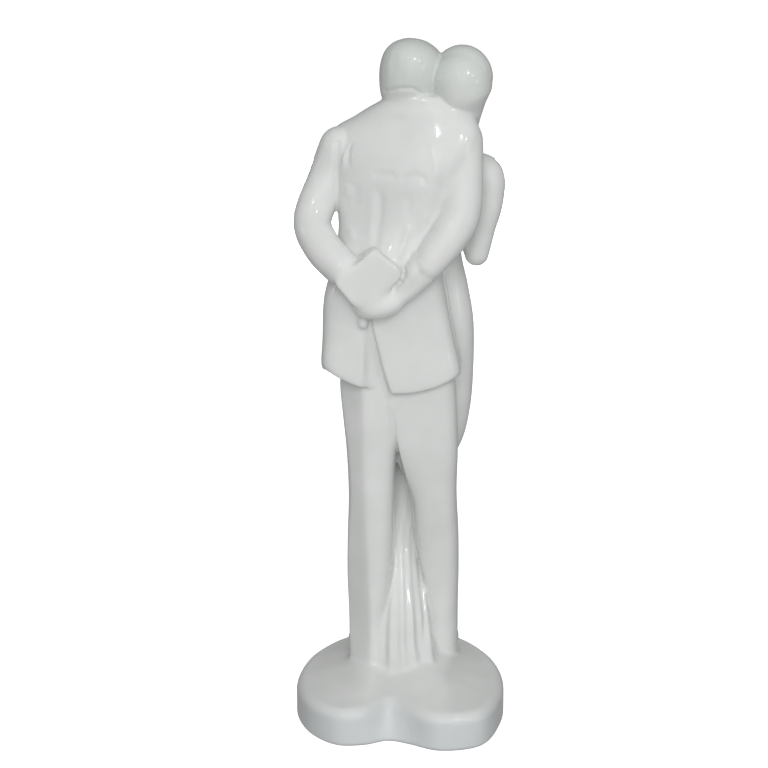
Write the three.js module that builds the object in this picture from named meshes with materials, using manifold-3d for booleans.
// A glazed bone china figurine of a couple: a man in a suit who hides a gift box behind
// his back, and a woman in a long gown who leans on his shoulder, both on a lobed base.
// It is slip-cast in one piece, so it is one closed solid.
// Millimetres, +Z up, origin at the centre of the underside. The man's back looks to -Y.

import * as THREE from "three";
import { mergeVertices } from "three/addons/utils/BufferGeometryUtils.js";
import Module from "manifold-3d";

// Driving dimensions of the base

const BASE_OUTLINE = [
  [46.4, 2], [44.4, -22.4], [35, -45], [17, -50], [3, -43.2], [-5.5, -40.2],
  [-15, -43.8], [-27.5, -44], [-39, -33.2], [-46, -14], [-46.2, 5],
  [-39.8, 29], [-23, 50.6], [2, 57], [26, 49.6], [40.8, 27.4],
];
const RIM_HEIGHT = 17;
const RIM_RADIUS = 5;
const RIM_ANGLES = [30, 60, 85];
const FOOT_CHAMFER = 1.2;
const BASE_POINTS = 42;
// The top swells to a mound, drawn by rings that shrink towards its middle
const MOUND = { x: 1, y: 17, rise: 10.5, steepness: 1.2, rings: [0.84, 0.68, 0.52, 0.3] };
// The notch between the two lobes under the man's heels, deeper towards the top
const NOTCH = { x: -4, width: 9, depth: 10, front: 20, heights: [-4, 20] };

// Bodies built from level sections:
// height, centre x, centre y, half width, half depth, turn in degrees, squareness

const JACKET = [
  [153.2, -4.0, 6.5, 29.8, 18.2, 0, 5.0],
  [156.5, -4.1, 6.5, 30.6, 18.9, 0, 5.0],
  [172, -5.1, 6.6, 29.0, 17.8, 0, 4.8],
  [190, -6.3, 6.8, 26.9, 17.2, 2, 3.9],
  [206, -5.0, 7.0, 23.9, 17.2, 12, 2.7],
  [222, -2.6, 7.0, 24.2, 17.8, 25, 2.7],
  [240, -0.8, 7.0, 29.0, 18.6, 27, 2.8],
  [253, 0.8, 7.0, 34.0, 17.2, 26, 2.6],
  [262, 2.8, 6.8, 33.4, 13.8, 25, 2.4],
  [267.4, 6.2, 6.4, 28.2, 13.0, 24, 2.2],
  [272, 8.8, 6.2, 23.2, 13.0, 20, 2.2],
  [275.6, 10.7, 5.8, 18.8, 12.2, 14, 2.4],
  [277.8, 9.2, 5.8, 16.4, 11.4, 10, 2.6],
  [278.8, 5.8, 6.0, 12.4, 10.0, 10, 2.6],
];
const SHIRT_COLLAR = [
  [272, 2.2, 8.2, 9.8, 9.8, 20, 2.0],
  [277, 2.4, 8.0, 10.2, 10.2, 20, 2.0],
  [281.6, 2.9, 7.8, 10.0, 10.4, 20, 2.0],
];
const SEAT = [
  [131, -0.6, 8.0, 13.0, 7.0, 8, 2.2],
  [145, -1.8, 7.2, 20.5, 12.6, 12, 2.4],
  [158, -3.4, 6.6, 25.0, 14.6, 12, 2.4],
  [176, -4.6, 6.6, 25.0, 14.6, 12, 2.4],
  [196, -5.4, 6.8, 22.5, 14.6, 16, 2.4],
];
const LEFT_LEG = [
  [20, -15.2, 5.6, 7.9, 11.8, -3, 2.2],
  [30, -15.0, 5.6, 8.1, 11.4, -3, 2.2],
  [45, -14.4, 5.6, 8.9, 11.2, -3, 2.2],
  [62, -13.9, 5.6, 10.0, 11.6, -3, 2.2],
  [80, -13.4, 5.5, 10.3, 12.0, -3, 2.2],
  [100, -12.9, 5.6, 10.2, 12.9, -1, 2.3],
  [120, -12.8, 5.8, 11.1, 13.8, 2, 2.4],
  [136, -12.0, 6.2, 13.4, 14.8, 5, 2.5],
  [152, -11.4, 6.4, 15.2, 14.8, 6, 2.6],
  [172, -11.0, 6.6, 14.0, 13.0, 6, 2.8],
];
const RIGHT_LEG = [
  [20, 18.8, 20.4, 7.6, 10.8, -4, 2.2],
  [30, 18.6, 19.4, 7.7, 10.6, -2, 2.2],
  [45, 18.2, 18.0, 8.1, 10.8, 0, 2.3],
  [62, 17.3, 16.0, 9.0, 11.2, 0, 2.5],
  [80, 16.2, 13.4, 9.9, 11.8, 0, 2.7],
  [100, 14.8, 10.0, 10.8, 12.8, 0, 3.0],
  [120, 12.6, 6.6, 12.9, 13.8, 0, 3.4],
  [136, 11.3, 5.8, 14.1, 14.4, 0, 3.6],
  [160, 9.9, 6.0, 14.3, 14.6, 0, 3.6],
];
const GOWN = [
  [19, 0.2, 17.5, 18.8, 26.8, 0, 2.0],
  [26, 0.0, 17.5, 18.2, 26.2, 0, 2.0],
  [34, -0.6, 17.6, 16.3, 25.0, 0, 2.0],
  [45, -1.0, 18.0, 15.2, 23.4, 0, 2.0],
  [60, -1.8, 21.6, 12.8, 19.3, 0, 2.0],
  [80, -2.0, 27.0, 12.0, 14.6, 3, 2.0],
  [100, 2.0, 28.5, 13.5, 12.8, 8, 2.0],
  [118, 8.2, 26.2, 19.0, 14.6, 14, 2.0],
  [136, 9.9, 27.2, 22.2, 14.8, 20, 2.0],
  [156, 10.5, 27.8, 23.2, 15.0, 24, 2.1],
  [176, 10.6, 28.2, 23.2, 14.6, 27, 2.1],
  [192, 10.8, 28.8, 20.4, 13.0, 29, 2.1],
  [207, 11.2, 29.2, 16.8, 11.2, 30, 2.1],
  [221, 12.4, 28.6, 18.2, 12.2, 30, 2.1],
  [232, 13.6, 27.8, 21.4, 12.8, 30, 2.2],
  [241, 15.0, 26.8, 24.6, 11.2, 30, 2.2],
  [248, 16.8, 24.8, 19.0, 9.6, 30, 2.1],
  [254, 18.8, 21.8, 11.8, 9.0, 30, 2.0],
  [260, 21.2, 17.6, 8.2, 7.8, 30, 2.0],
];
const FLUTES = { count: 9, depth: 1.1, low: 24, high: 120, fade: 1.5, twist: 0.35 };

// Rounded limbs: a path of x, y, z and the limb's radius there

const MAN_LEFT_ARM = [
  [-26.0, 12.0, 254.6, 9.2], [-31.2, 11.5, 241.0, 9.0], [-38.0, 5.0, 224.3, 8.3],
  [-33.4, -4.2, 213.9, 8.2], [-24.2, -13.4, 206.0, 8.0],
];
const MAN_RIGHT_ARM = [
  [24.9, -2.2, 259.6, 10.2], [26.0, -6.5, 243.0, 9.3], [25.4, -10.8, 229.2, 8.7],
  [20.5, -13.6, 220.4, 8.4], [15.0, -15.4, 213.2, 7.7], [11.8, -16.2, 208.8, 6.9],
];
const MAN_RIGHT_HAND = [
  [9.5, -16.2, 204.5, 5.6], [4.2, -16.6, 198.6, 4.4], [-0.4, -16.8, 195.0, 4.1],
  [-3.8, -16.8, 192.4, 4.9], [-8.4, -16.8, 190.9, 5.4], [-13.0, -16.4, 190.2, 5.1],
  [-15.6, -16.0, 190.0, 4.4],
];
const MAN_THUMB = [
  [8.8, -15.6, 210.6, 4.2], [6.6, -17.0, 206.4, 4.8], [4.4, -17.4, 202.0, 4.2], [0.6, -17.4, 198.4, 3.4],
];
const MAN_FINGERS = [
  [-1.2, -17.9, 204.4, 3.5], [-4.9, -18.1, 201.4, 3.5], [-8.5, -18.0, 198.0, 3.8],
  [-12.4, -17.7, 194.2, 4.2], [-15.6, -17.2, 191.8, 3.6],
];
const MAN_LEFT_HAND = [[-25.0, -12.0, 204.5, 5.0], [-19.5, -12.0, 198.0, 4.4], [-14.5, -11.5, 192.5, 3.2]];
const MAN_NECK = [[2.2, 8.0, 266, 8.6], [2.8, 8.0, 283, 10.0]];
const LEFT_SHOE = [[-16.8, 18, 23.4, 5.2], [-17.6, 24, 24.0, 6.4], [-18.8, 31, 22.8, 5.6]];
const RIGHT_SHOE = [[18.4, 20, 24, 5.8], [20, 27, 24.2, 6.8], [21.4, 35, 22.8, 5.6]];
const WOMAN_NECK = [[26.0, 7.0, 276, 7.2], [22.4, 14.0, 265, 7.0], [18.0, 22.5, 253, 8.2]];
const WOMAN_LEFT_UPPER_ARM = [
  [27.0, 20.0, 244.4, 6.4], [36.2, 15.2, 242.2, 8.4], [37.4, 13.8, 231.0, 7.4],
  [35.4, 12.8, 219.0, 6.0], [33.2, 12.4, 207.8, 5.4],
];
const WOMAN_LEFT_FOREARM = [
  [33.2, 12.4, 207.8, 5.3], [29.0, 15.6, 219.0, 4.9], [24.0, 18.2, 232.0, 4.0],
  [20.6, 18.6, 242.5, 3.4],
];
const WOMAN_RIGHT_UPPER_ARM = [
  [1.0, 35.5, 244.0, 6.0], [-7.4, 39.6, 242.4, 7.6], [-11.4, 40.8, 231.0, 6.8],
  [-14.0, 40.6, 218.5, 5.8], [-15.4, 39.2, 209.0, 5.2],
];
const WOMAN_RIGHT_FOREARM = [
  [-15.4, 39.2, 209.0, 5.1], [-16.6, 36.0, 220.0, 4.7], [-17.8, 33.0, 231.0, 4.0],
  [-18.8, 30.4, 242.0, 3.4],
];

// Heads: centre, height from chin to crown, facing and leaning angles in degrees, and how
// much the crown narrows

const MAN_HEAD = {
  at: [4.1, 7.5, 283.5], height: 36.4, face: 14, lean: 9, nod: 6, hairLine: 0.27, crown: 0.05,
};
const WOMAN_HEAD = {
  at: [26.0, 4.6, 283.1], height: 32.5, face: -44, lean: -5, nod: -6, hairLine: 0.22, crown: 0.22,
};
// The woman's smooth bobbed hair: a ball that narrows to the nape
const BOB = [
  [26.0, 1.2, 284.7, 12.8], [26.9, 1.8, 279.3, 12.0], [28.0, 3.6, 273.4, 7.9], [28.4, 6.6, 267.4, 5.6],
];
// Head sections as shares of the height: level, forward shift, half width, half depth
const HEAD_SECTIONS = [
  [-0.50, 0.27, 0.07, 0.06], [-0.47, 0.235, 0.165, 0.165], [-0.40, 0.19, 0.225, 0.245],
  [-0.30, 0.13, 0.268, 0.305], [-0.17, 0.07, 0.314, 0.365], [0.0, 0.02, 0.342, 0.408],
  [0.16, 0.0, 0.352, 0.425], [0.30, -0.015, 0.328, 0.398], [0.41, -0.02, 0.25, 0.30],
  [0.48, -0.025, 0.12, 0.15], [0.50, -0.025, 0.02, 0.03],
];
const HEAD_POINTS = 20;
const HAIR_LIFT = 1.0;
const HAIR_EDGE = { sides: [0.12, 0.3], soft: 0.03 };

// The gift box, held corner up: x, z and rounding of its corners, depths of back and face
const GIFT_BOX = {
  corners: [[-11.1, 216.5, 1.6], [-28.5, 201.9, 1.6], [-18.2, 189.3, 2.4], [0.8, 207, 3.4]],
  back: -10,
  face: -21.8,
  soft: 1.1,
};
const BUTTON = { at: [-16.1, -10.2, 183.4], radius: 2.5 };
// The vent in the back of the jacket. The hem hangs lowest at the middle of the back, and
// rises towards left and right, less so at the sides.
const VENT = { top: [-13.6, 188], left: [-16, 147], right: [-3.3, 147], floor: -7, reach: 20 };
const HEM = {
  middle: -1, drop: 2.8, curve: 0.0105, even: 0.45, back: 16, sides: [-13, 10], fade: [153, 176],
};

const GLAZE = new THREE.MeshStandardMaterial({ color: 0xe9ecea, roughness: 0.12, metalness: 0 });

const wasm = await Module();
wasm.setup();

const radians = (degrees) => degrees * Math.PI / 180;
// Rings of a limb's domed end, as angles from its tip
const DOME = [12, 35, 62].map(radians);
const bell = (value, width) => Math.exp(-((value / width) ** 2));
const ramp = (value, low, high) => THREE.MathUtils.smoothstep(value, low, high);

// Smooth rows between the given ones, by the Catmull-Rom rule on every column
function between(rows, steps) {
  const last = rows.length - 1;
  const at = (index) => rows[THREE.MathUtils.clamp(index, 0, last)];
  const smooth = [];
  for (let step = 0; step <= steps; step++) {
    const place = step / steps * last;
    const start = Math.min(Math.floor(place), last - 1);
    const t = place - start;
    smooth.push(rows[0].map((_, column) => {
      const [p, a, b, q] = [-1, 0, 1, 2].map((offset) => at(start + offset)[column]);
      return a + 0.5 * t * (b - p + t * (2 * p - 5 * a + 4 * b - q + t * (3 * (a - b) + q - p)));
    }));
  }
  return smooth;
}

// A closed surface through rings of points, each end closed on its ring's middle
function skin(rings) {
  const around = rings[0].length;
  const middle = (ring) => {
    const sum = new THREE.Vector3();
    ring.forEach((point) => sum.add(point));
    return sum.divideScalar(around);
  };
  const points = [...rings.flat(), middle(rings[0]), middle(rings[rings.length - 1])];
  const first = rings.length * around;
  const faces = [];
  for (let k = 0; k < around; k++) {
    const next = (k + 1) % around;
    for (let ring = 0; ring < rings.length - 1; ring++) {
      const low = ring * around;
      const high = low + around;
      faces.push([low + k, low + next, high + next], [low + k, high + next, high + k]);
    }
    const top = first - around;
    faces.push([first, next, k], [first + 1, top + k, top + next]);
  }
  return { points, faces };
}

// The solid of a surface, turned so that its faces point out
function solid({ points, faces }) {
  const geometry = new THREE.BufferGeometry().setFromPoints(points);
  geometry.setIndex(faces.flat());
  return solidOf(geometry);
}

function solidOf(source) {
  const plain = source.clone();
  plain.deleteAttribute("normal");
  plain.deleteAttribute("uv");
  const merged = mergeVertices(plain, 1e-4);
  const corners = merged.attributes.position;
  const index = Uint32Array.from(merged.index.array);
  const [a, b, c] = [new THREE.Vector3(), new THREE.Vector3(), new THREE.Vector3()];
  let volume = 0;
  for (let face = 0; face < index.length; face += 3) {
    a.fromBufferAttribute(corners, index[face]);
    b.fromBufferAttribute(corners, index[face + 1]);
    c.fromBufferAttribute(corners, index[face + 2]);
    volume += a.dot(b.cross(c));
  }
  const outward = volume > 0 ? index : index.reverse();
  const mesh = new wasm.Mesh({
    numProp: 3,
    vertProperties: Float32Array.from(corners.array),
    triVerts: outward,
  });
  return new wasm.Manifold(mesh);
}

// A body of level sections, each a turned superellipse. Its points may be lifted by a relief,
// turned by a twist and moved by a hang.
const NO_CHANGE = { relief: () => 0, twist: () => 0, hang: (point) => point };

function stacked(rows, steps, around, changes = {}) {
  const { relief, twist, hang } = { ...NO_CHANGE, ...changes };
  const rings = between(rows, steps).map(([z, cx, cy, wide, deep, turn, square]) => {
    const [cosTurn, sinTurn] = [Math.cos(radians(turn)), Math.sin(radians(turn))];
    const ring = [];
    for (let k = 0; k < around; k++) {
      const share = k / around;
      const angle = 2 * Math.PI * share + twist(z);
      const [c, s] = [Math.cos(angle), Math.sin(angle)];
      const lift = relief(share, z);
      const bulge = (Math.abs(c) ** square + Math.abs(s) ** square) ** (-1 / square);
      const u = c * bulge * (wide + lift);
      const v = s * bulge * (deep + lift);
      const x = cx + u * cosTurn + v * sinTurn;
      const y = cy - u * sinTurn + v * cosTurn;
      ring.push(hang(new THREE.Vector3(x, y, z)));
    }
    return ring;
  });
  return solid(skin(rings));
}

// A round limb along a path, with domed ends
function limb(path, steps, around) {
  const line = between(path, steps).map(([x, y, z, radius]) => ({ at: new THREE.Vector3(x, y, z), radius }));
  const rings = [];
  const ring = ({ at, radius }, direction, push, shrink) => {
    const side = new THREE.Vector3(0, 1, 0).cross(direction).normalize();
    const rise = direction.clone().cross(side);
    const points = [];
    for (let k = 0; k < around; k++) {
      const angle = 2 * Math.PI * k / around;
      points.push(at.clone()
        .addScaledVector(direction, push * radius)
        .addScaledVector(side, Math.cos(angle) * radius * shrink)
        .addScaledVector(rise, Math.sin(angle) * radius * shrink));
    }
    rings.push(points);
  };
  line.forEach((knot, index) => {
    const before = line[Math.max(index - 1, 0)].at;
    const after = line[Math.min(index + 1, line.length - 1)].at;
    const direction = after.clone().sub(before).normalize();
    if (index === 0) {
      DOME.forEach((angle) => ring(knot, direction, -Math.cos(angle), Math.sin(angle)));
    }
    ring(knot, direction, 0, 1);
    if (index === line.length - 1) {
      [...DOME].reverse().forEach((angle) => ring(knot, direction, Math.cos(angle), Math.sin(angle)));
    }
  });
  return solid(skin(rings));
}

// The outline of the base at a share of the way round, moved in by inset and shrunk
const baseCurve = new THREE.CatmullRomCurve3(
  BASE_OUTLINE.map(([x, y]) => new THREE.Vector3(x, y, 0)), true, "centripetal");

function baseRing(height, inset, shrink) {
  const ring = [];
  for (let k = 0; k < BASE_POINTS; k++) {
    const point = baseCurve.getPoint(k / BASE_POINTS);
    const along = baseCurve.getTangent(k / BASE_POINTS);
    // The outline runs clockwise, so its inner side is on the right of the tangent
    const x = MOUND.x + (point.x + along.y * inset - MOUND.x) * shrink;
    const y = MOUND.y + (point.y - along.x * inset - MOUND.y) * shrink;
    const near = ramp(-y, 0, NOTCH.front) * bell(x - NOTCH.x, NOTCH.width);
    const pressed = NOTCH.depth * near * ramp(height, ...NOTCH.heights);
    ring.push(new THREE.Vector3(x, y + pressed, height));
  }
  return ring;
}

function base() {
  const rings = [
    baseRing(0, FOOT_CHAMFER, 1),
    baseRing(FOOT_CHAMFER, 0, 1),
    baseRing(RIM_HEIGHT - RIM_RADIUS, 0, 1),
  ];
  for (const angle of RIM_ANGLES.map(radians)) {
    const height = RIM_HEIGHT - RIM_RADIUS * (1 - Math.sin(angle));
    rings.push(baseRing(height, RIM_RADIUS * (1 - Math.cos(angle)), 1));
  }
  for (const shrink of MOUND.rings) {
    const height = RIM_HEIGHT + MOUND.rise * (1 - shrink) ** MOUND.steepness;
    rings.push(baseRing(height, RIM_RADIUS, shrink));
  }
  return solid(skin(rings));
}

// Flutes of the gown run down, deepen towards the hem and swing a little round it
function flutes(share, z) {
  const depth = FLUTES.depth * (1 - ramp(z, FLUTES.low, FLUTES.high)) ** FLUTES.fade;
  return depth * Math.cos(2 * Math.PI * FLUTES.count * share);
}
const swing = (z) => FLUTES.twist * ramp(z, FLUTES.low, FLUTES.high);

// The face's relief on a head of height 1: side and level are shares of the height
function faceRelief(side, level) {
  const nose = 0.1 * bell(side, 0.05) * ramp(level, -0.17, -0.13) * (1 - ramp(level, -0.12, 0.1));
  const sockets = -0.04 * bell(Math.abs(side) - 0.13, 0.07) * bell(level - 0.015, 0.06);
  const brow = 0.014 * bell(level - 0.1, 0.045);
  const lips = 0.025 * bell(side, 0.09) * (bell(level + 0.245, 0.025) + bell(level + 0.3, 0.03));
  const chin = 0.02 * bell(side, 0.09) * bell(level + 0.43, 0.06);
  return nose + sockets + brow + lips + chin;
}

// A head's own axes, from its facing, leaning and nodding angles
function headFrame({ at, face, lean, nod }) {
  const turn = new THREE.Matrix4().makeRotationZ(-radians(face));
  const tilt = new THREE.Matrix4().makeRotationY(radians(lean));
  const bow = new THREE.Matrix4().makeRotationX(-radians(nod));
  return tilt.multiply(turn).multiply(bow).setPosition(...at);
}

// How much of the head is hair: all of it but the face below the hair line
function hairShare(facing, level, hairLine) {
  const below = 1 - ramp(level, hairLine - HAIR_EDGE.soft, hairLine + HAIR_EDGE.soft);
  return 1 - ramp(facing, ...HAIR_EDGE.sides) * below;
}

// Face, skull and cap of hair as one surface
function head(shape) {
  const { height } = shape;
  const frame = headFrame(shape);
  const rings = between(HEAD_SECTIONS, 13).map(([level, forward, wide, deep]) => {
    const narrow = 1 - shape.crown * ramp(level, 0, 0.5);
    const ring = [];
    for (let k = 0; k < HEAD_POINTS; k++) {
      const angle = 2 * Math.PI * k / HEAD_POINTS;
      const facing = Math.max(Math.sin(angle), 0);
      const hair = HAIR_LIFT / height * hairShare(facing, level, shape.hairLine) * ramp(level, -0.45, -0.2);
      const side = (wide * narrow + hair) * Math.cos(angle);
      const front = (deep * narrow + hair) * Math.sin(angle) + faceRelief(side, level) * facing ** 1.5;
      ring.push(new THREE.Vector3(side, forward + front, level).multiplyScalar(height).applyMatrix4(frame));
    }
    return ring;
  });
  return solid(skin(rings));
}

// The gift box: its corners rounded, drawn from back to face, its rims softened
function giftBox() {
  const corners = GIFT_BOX.corners.map(([x, z, rounding]) => ({ at: new THREE.Vector2(x, z), rounding }));
  const outline = new THREE.Path();
  corners.forEach(({ at, rounding }, index) => {
    const [before, after] = [corners.at(index - 1).at, corners[(index + 1) % corners.length].at];
    const towards = (end) => at.clone().addScaledVector(end.clone().sub(at).normalize(), rounding);
    const [start, end] = [towards(before), towards(after)];
    if (index === 0) {
      outline.moveTo(start.x, start.y);
    } else {
      outline.lineTo(start.x, start.y);
    }
    outline.quadraticCurveTo(at.x, at.y, end.x, end.y);
  });
  const flat = outline.getPoints(2);
  const middle = flat.reduce((sum, point) => sum.add(point), new THREE.Vector2()).divideScalar(flat.length);
  const reach = Math.min(...flat.map((point) => point.distanceTo(middle)));
  const ring = (y, inset) => flat.map((point) => {
    const drawn = point.clone().sub(middle).multiplyScalar(1 - inset / reach).add(middle);
    return new THREE.Vector3(drawn.x, y, drawn.y);
  });
  const { back, face, soft } = GIFT_BOX;
  return solid(skin([ring(back, soft), ring(back - soft, 0), ring(face + soft, 0), ring(face, soft)]));
}

function button() {
  return solidOf(new THREE.SphereGeometry(BUTTON.radius, 10, 6).translate(...BUTTON.at));
}

// The vent: a wedge cut into the back of the jacket, open at the hem
function ventWedge() {
  const corners = [VENT.top, VENT.left, VENT.right].map(([x, z]) => new THREE.Vector2(x, z));
  const wedge = new THREE.ExtrudeGeometry(new THREE.Shape(corners), {
    depth: VENT.reach,
    bevelEnabled: false,
  });
  wedge.rotateX(Math.PI / 2);
  wedge.translate(0, VENT.floor, 0);
  return solidOf(wedge);
}

// The jacket's hem: dropped at the back and curving up to the sides
function hangHem(point) {
  const rise = HEM.curve * (point.x - HEM.middle) ** 2 * (1 - HEM.even * ramp(point.y, ...HEM.sides));
  const drop = HEM.drop * ramp(-point.y, -HEM.back, 0) - rise;
  return point.setZ(point.z - drop * (1 - ramp(point.z, ...HEM.fade)));
}

function man() {
  const suit = stacked(JACKET, 16, 28, { hang: hangHem }).subtract(ventWedge());
  return [
    suit,
    stacked(SHIRT_COLLAR, 2, 20),
    stacked(SEAT, 5, 20),
    stacked(LEFT_LEG, 9, 20),
    stacked(RIGHT_LEG, 9, 20),
    limb(LEFT_SHOE, 4, 12),
    limb(RIGHT_SHOE, 4, 12),
    limb(MAN_LEFT_ARM, 8, 12),
    limb(MAN_RIGHT_ARM, 9, 12),
    limb(MAN_RIGHT_HAND, 6, 8),
    limb(MAN_THUMB, 3, 7),
    limb(MAN_FINGERS, 4, 7),
    limb(MAN_NECK, 2, 16),
    limb(MAN_LEFT_HAND, 3, 8),
    head(MAN_HEAD),
    giftBox(),
    button(),
  ];
}

function woman() {
  return [
    stacked(GOWN, 18, 36, { relief: flutes, twist: swing }),
    limb(WOMAN_NECK, 4, 14),
    limb(WOMAN_LEFT_UPPER_ARM, 8, 10),
    limb(WOMAN_LEFT_FOREARM, 4, 10),
    limb(WOMAN_RIGHT_UPPER_ARM, 8, 10),
    limb(WOMAN_RIGHT_FOREARM, 4, 10),
    head(WOMAN_HEAD),
    limb(BOB, 5, 14),
  ];
}

function figurine() {
  const whole = [base(), ...man(), ...woman()].reduce((joined, part) => joined.add(part));
  const { vertProperties, triVerts } = whole.getMesh();
  const geometry = new THREE.BufferGeometry();
  geometry.setAttribute("position", new THREE.BufferAttribute(vertProperties, 3));
  geometry.setIndex(new THREE.BufferAttribute(triVerts, 1));
  const mesh = new THREE.Mesh(geometry, GLAZE);
  mesh.name = "couple_figurine";
  return mesh;
}

const model = new THREE.Group();
model.add(figurine());

export default model;
